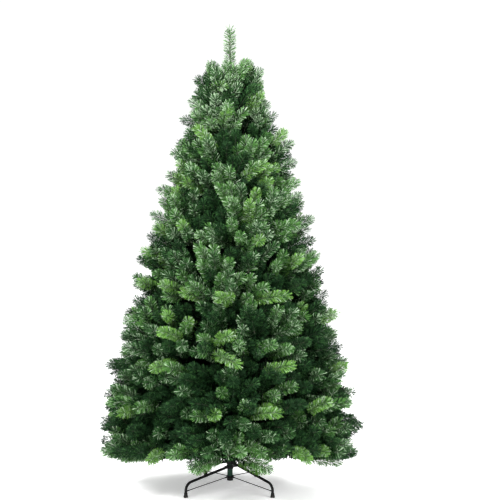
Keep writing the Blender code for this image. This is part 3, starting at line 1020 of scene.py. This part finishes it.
def edgeTips(sector, fine):  # long twigs along a sector's two sides, where it meets its neighbours
    start, end = sector["stem"]
    for side, lift in edgeTwigs["places"]:
        azimuth = sector["middle"] + side * 180.0 / sector["tier"][1]
        height = max(end.z + lift, crownFoot(azimuth) + sideTwigs["footRoom"])
        tip = compass(azimuth) * crownRadius(height) * edgeTwigs["reach"] + atHeight(height)
        yield start.lerp(end, fine.uniform(*edgeTwigs["roots"])), tip


def misfit(end, point, weight, slack=0.0):  # small if a limb ends near and below a point
    return (end - point).length + weight * max(0.0, end.z - slack - point.z)


def fineFork(sector, tip):  # where a finer twig leaves the best stem or twig of its sector
    limbs = [(sector["stem"][0], sector["edge"]), *sector["twigs"]["outer"]]
    limb = min(limbs, key=lambda ends: misfit(ends[1], tip, brush["aboveWeight"]))
    return forkPoint(*limb, tip, brush["forkAngle"], brush["forkZone"])


def pickKind(height, fine):
    rises = [(height - start) / (end - start) for start, end in kindHeights]
    draw, share = fine.random(), min(max(*rises, 0.0), 1.0)
    for often, oftenHigher, shades in sprayKinds.values():
        draw -= often + (oftenHigher - often) * share
        if draw < 0:
            return shades
    return sprayKinds["dark"][2]


def growSprays(foliage, sector, fine, chance):
    thin, thick = crown["twigRadius"] * brush["thin"], crown["twigRadius"]

    def spray(start, tip, shades, radius, kind="spray"):
        addSpray(foliage, bentPath(start, tip, fine), shades, kind, fine, chance, radius)

    addLimb(foliage, *sector["stem"], (crown["stemRadius"], crown["twigRadius"]), chance, firstNeedle=0.02)
    for start, tip in (*sideTips(sector, fine), *edgeTips(sector, fine)):
        spray(start, tip, innerShades, thin, "inner")
    for fork, tip in sector["twigs"]["outer"]:
        spray(fork, tip, pickKind(tip.z, fine), thick)
    for fork, tip in sector["twigs"]["low"]:
        spray(fork, tip, lowShades, thick)
    for fork, tip in sector["twigs"]["riser"]:
        spray(fork, tip, pickKind(tip.z, fine), thick)
        for finer in besideRiser(tip, fine):
            start = forkPoint(fork, tip, finer, brush["forkAngle"], brush["forkZone"])
            spray(start, finer, innerShades, thin, "inner")
    for tip, deep in evenTips(sector, fine):
        start = fineFork(sector, tip)
        # sprays set deeper in get the dark kind: painted shade in the crown's recesses
        spray(start, tip, sprayKinds["dark"][2] if deep else pickKind(tip.z, fine), thin)


def growHeart(foliage, sector, fine, chance):  # steep twigs on a bough, which close the view past the pole
    root = sector["bough"][0].lerp(sector["bough"][1], heartTwigs["root"])
    radius = crown["twigRadius"] * brush["thin"]
    for side, lift, reach in heartTwigs["places"]:
        tip = pointAt(sector["middle"] + side * 180.0 / sector["tier"][1], reach, root.z + lift)
        addSpray(foliage, bentPath(root, tip, fine), innerShades, "inner", fine, chance, radius)


# The sprays that stand out, by where their ends and roots show in the picture: tip X, Y, root X, Y
shownSprays = {
    "bright": (
        (159, 332, 190, 332), (233, 337, 207, 332), (244, 368, 214, 351), (296, 365, 260, 372),
        (219, 415, 203, 413), (283, 413, 246, 412), (152, 369, 168, 364), (150, 462, 161, 449),
        (309, 462, 299, 447), (337, 313, 312, 321), (329, 402, 304, 406), (226, 88, 207, 78),
        (262, 95, 249, 100), (193, 126, 218, 142), (285, 132, 269, 142), (267, 162, 250, 170),
        (216, 297, 238, 299), (294, 295, 262, 298), (142, 252, 168, 252),
    ),
    "fresh": (
        (122, 320, 148, 318), (246, 62, 238, 74), (298, 182, 276, 186), (318, 254, 300, 262),
        (107, 402, 136, 400), (352, 403, 326, 404), (300, 225, 280, 221), (188, 470, 217, 460),
        (272, 471, 252, 459),
    ),
    "mid": (
        (260, 71, 250, 80), (190, 101, 206, 107), (269, 103, 254, 112), (291, 144, 272, 148),
        (173, 153, 192, 156), (295, 163, 274, 164), (158, 190, 180, 188), (301, 196, 280, 200),
        (152, 215, 176, 218), (312, 219, 292, 224), (135, 277, 158, 282), (122, 333, 146, 338),
        (122, 346, 148, 352), (347, 376, 322, 380), (109, 388, 136, 392), (104, 447, 132, 444),
        (355, 447, 328, 440), (348, 362, 324, 358),
    ),
    "dark": (
        (209, 62, 224, 76), (197, 79, 212, 86), (195, 95, 210, 98), (256, 87, 244, 94),
        (181, 120, 202, 120), (276, 114, 260, 122), (275, 128, 258, 134), (186, 133, 204, 138),
        (178, 142, 200, 147), (289, 155, 270, 158), (300, 207, 280, 211), (150, 236, 172, 246),
        (313, 240, 292, 245), (140, 259, 164, 264), (322, 269, 304, 281), (134, 298, 154, 312),
        (327, 293, 306, 300), (325, 303, 304, 311), (330, 328, 306, 334), (342, 344, 320, 352),
        (107, 365, 134, 361), (100, 420, 130, 424), (362, 424, 334, 426), (113, 456, 142, 448),
        (347, 457, 320, 448), (186, 467, 206, 452),
    ),
}
picture = {"centre": 250.0, "focal": 1014.3, "eye": (0.0907, -4.6, 1.079)}
tracing = {
    "nearest": 3.8,
    "step": 0.005,
    "steps": 160,
    "outsideWeight": 100,
    "rootDepth": 0.88,
    "aboveWeight": 2,
    "aboveSlack": 0.03,
}


def onCrown(x, y, depth):  # the first point under a pixel that lies within a share of the crown's outline
    across, upwards = (x - picture["centre"]) / picture["focal"], (picture["centre"] - y) / picture["focal"]
    eye, ray = Vector(picture["eye"]), Vector((across, 1.0, upwards))

    def outside(point):
        return max(reachOf(point) - depth * crownRadius(point.z), 0.0) * tracing["outsideWeight"] + point.y

    distances = (tracing["nearest"] + step * tracing["step"] for step in range(tracing["steps"]))
    return min((eye + ray * distance for distance in distances), key=outside)


def growShown(foliageOf, sectors, fine, chance):
    weight, slack = tracing["aboveWeight"], tracing["aboveSlack"]
    radius = crown["twigRadius"] * brush["thin"]
    for kind, places in shownSprays.items():
        for tipX, tipY, rootX, rootY in places:
            tip, root = onCrown(tipX, tipY, 1.0), onCrown(rootX, rootY, tracing["rootDepth"])
            sector = min(sectors, key=lambda each: misfit(each["edge"], root, weight, slack))
            path = (fineFork(sector, root), root, tip)
            addSpray(foliageOf(sector), path, sprayKinds[kind][2], "spray", fine, chance, radius)


def makeLeader(foliage, chance):  # one upright spray on the pole's tip
    foot, top = atHeight(pole["tip"] + crown["gap"]), atHeight(crown["height"])
    path = (foot, (foot + top) / 2, top)
    last = lastNeedle("leader", (top - foot).length)
    foliage.add(path, (0.02, last), leaderShades, "leader", chance)
    radii = [(crown["stemRadius"],) * 2, (brush["wire"] * 2,) * 2]
    addTube(foliage.wood, [foot, onPath(path, last)], radii, sides=8)
    foliage.nodes.append("foliage_leader")


def makeCrown():
    fine, chance = random.Random(brush["seed"]), np.random.default_rng(brush["seed"])
    foliages = {zone: Foliage(zone) for zone in zones}
    zoneOf = {tier: zone for zone in zones for tier in zones[zone]["tiers"]}
    sectors = growTiers()

    def foliageOf(sector):
        return foliages[zoneOf[sector["tier"][0]]]

    for sector in sectors:
        foliage = foliageOf(sector)
        foliage.nodes.append(f"foliage_{sector['name']}")
        if sector["bough"]:
            makeBough(f"bough_{sector['name']}", sector["bough"])
            addLimb(foliage, *sector["bough"], None, chance, firstNeedle=0.25)
        growSprays(foliage, sector, fine, chance)
    growShown(foliageOf, sectors, fine, chance)
    makeLeader(foliages["top"], chance)
    for sector in sectors:
        if sector["bough"]:
            growHeart(foliageOf(sector), sector, fine, chance)
    print("crown:", sum(foliage.build() for foliage in foliages.values()), "triangles")


makeCrown()


# Floor, light and camera

studio = {
    "lens": 73.03,
    "sensor": 36.0,
    "floorRadius": 60.0,
    "floor": {"colour": (0.93, 0.93, 0.93), "roughness": 0.6},
    "floorGlow": 0.35,
    "worldColour": (1.0, 1.0, 1.0),
    "worldStrength": 1.06,
}
# name, place, target, size, watts
lamps = (
    ("keyLight", (-2.4, -4.2, 3.8), (0.0, 0.0, 1.0), 1.6, 520.0),
    ("fillLight", (3.6, -3.4, 2.2), (0.0, 0.0, 0.9), 2.2, 240.0),
    ("backLight", (1.8, 4.6, 3.4), (0.0, 0.0, 1.0), 2.2, 380.0),
)


def makeStage():
    bm = bmesh.new()
    bmesh.ops.create_circle(bm, cap_ends=True, segments=96, radius=studio["floorRadius"])
    f = Finish("paleFloor", studio["floor"])
    f.set("Emission Color", (1.0, 1.0, 1.0, 1.0))
    f.set("Emission Strength", studio["floorGlow"])
    floor = fromBmesh(bm, "floor", f.material)
    bpy.context.scene.collection.objects.link(floor)
    world = bpy.data.worlds.new("softWorld")
    world.use_nodes = True
    background = world.node_tree.nodes["Background"]
    background.inputs["Color"].default_value = (*studio["worldColour"], 1.0)
    background.inputs["Strength"].default_value = studio["worldStrength"]
    bpy.context.scene.world = world
    bpy.context.scene.view_settings.view_transform = "Standard"
    for name, spot, target, size, watts in lamps:
        light = bpy.data.lights.new(name, "AREA")
        light.shape, light.size, light.energy = "DISK", size, watts
        lamp = bpy.data.objects.new(name, light)
        lamp.location = spot
        lamp.rotation_euler = (Vector(target) - Vector(spot)).to_track_quat("-Z", "Y").to_euler()
        bpy.context.scene.collection.objects.link(lamp)
    optics = bpy.data.cameras.new("camera")
    optics.lens, optics.sensor_width = studio["lens"], studio["sensor"]
    camera = bpy.data.objects.new("camera", optics)
    camera.location, camera.rotation_euler = picture["eye"], (math.pi / 2, 0.0, 0.0)
    bpy.context.scene.collection.objects.link(camera)
    bpy.context.scene.camera = camera


makeStage()
print("stage: done")
